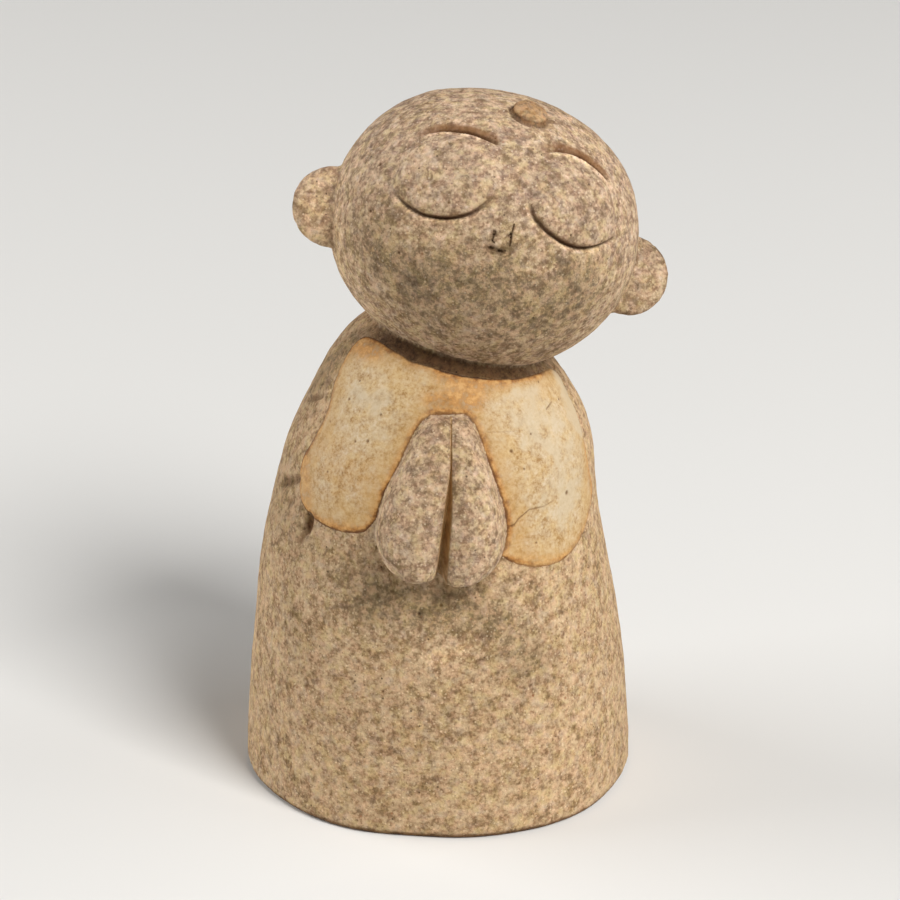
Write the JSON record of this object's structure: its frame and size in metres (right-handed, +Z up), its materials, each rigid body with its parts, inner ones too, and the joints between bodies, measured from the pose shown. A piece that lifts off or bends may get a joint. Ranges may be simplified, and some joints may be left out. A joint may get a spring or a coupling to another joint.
{
  "type": "ceramic child jizo figure",
  "caption": "Small hand-formed stoneware child jizo with a tilted head, closed eyes, palms pressed together and a pale glazed bib, standing on a flat foot.",
  "frame": {"origin": "middle of the flat foot, on the surface the figure stands on", "axes": "+Z up, the figure faces -Y, +X towards the side its head leans to"},
  "size_m": [0.0707, 0.0664, 0.1177],
  "materials": {
    "stoneware": "matte, coarse speckled stoneware with a pale glazed bib"
  },
  "bodies": {
    "root": {"jizo_figure": "stoneware"}
  },
  "joints": []
}
